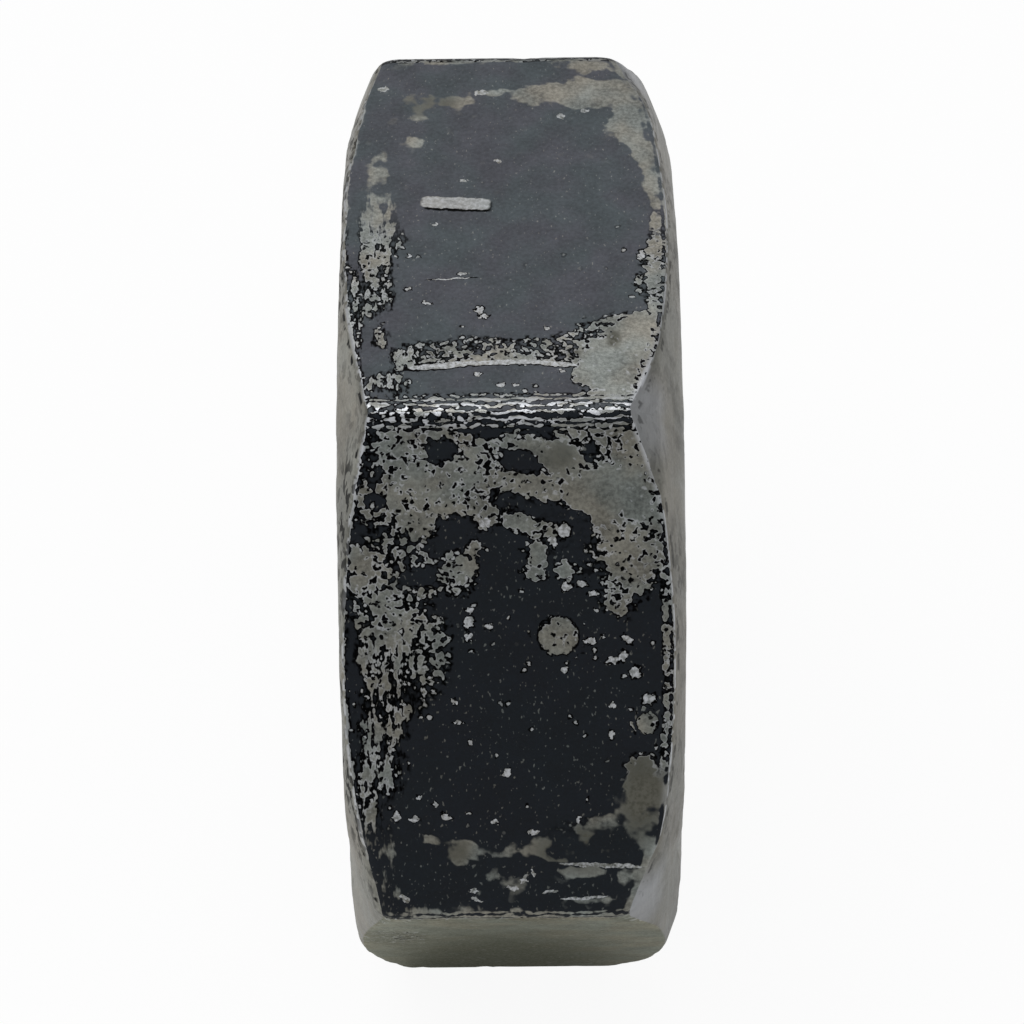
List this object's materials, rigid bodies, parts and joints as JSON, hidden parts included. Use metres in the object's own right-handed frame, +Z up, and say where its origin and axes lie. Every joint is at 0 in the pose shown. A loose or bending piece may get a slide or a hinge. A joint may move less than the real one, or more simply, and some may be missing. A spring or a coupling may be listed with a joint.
{
  "type": "crankshaft nut",
  "caption": "Thin steel hexagon nut with a fine right-hand thread, chamfered faces and worn black oxide, for clamping a hub or pulley on a crankshaft end.",
  "frame": {"origin": "middle of the flat that the nut stands on", "axes": "+X along the thread's axis, out of the bearing face; +Z up, out of the upper flat; +Y towards a corner of the hexagon"},
  "size_m": [0.012, 0.0368, 0.032],
  "materials": {
    "nut_steel": "black oxide on the flats, worn through to bare grey steel in patches and along the edges; bare turned steel on the chamfers and faces"
  },
  "bodies": {
    "root": {"nut": "nut_steel"}
  },
  "joints": []
}
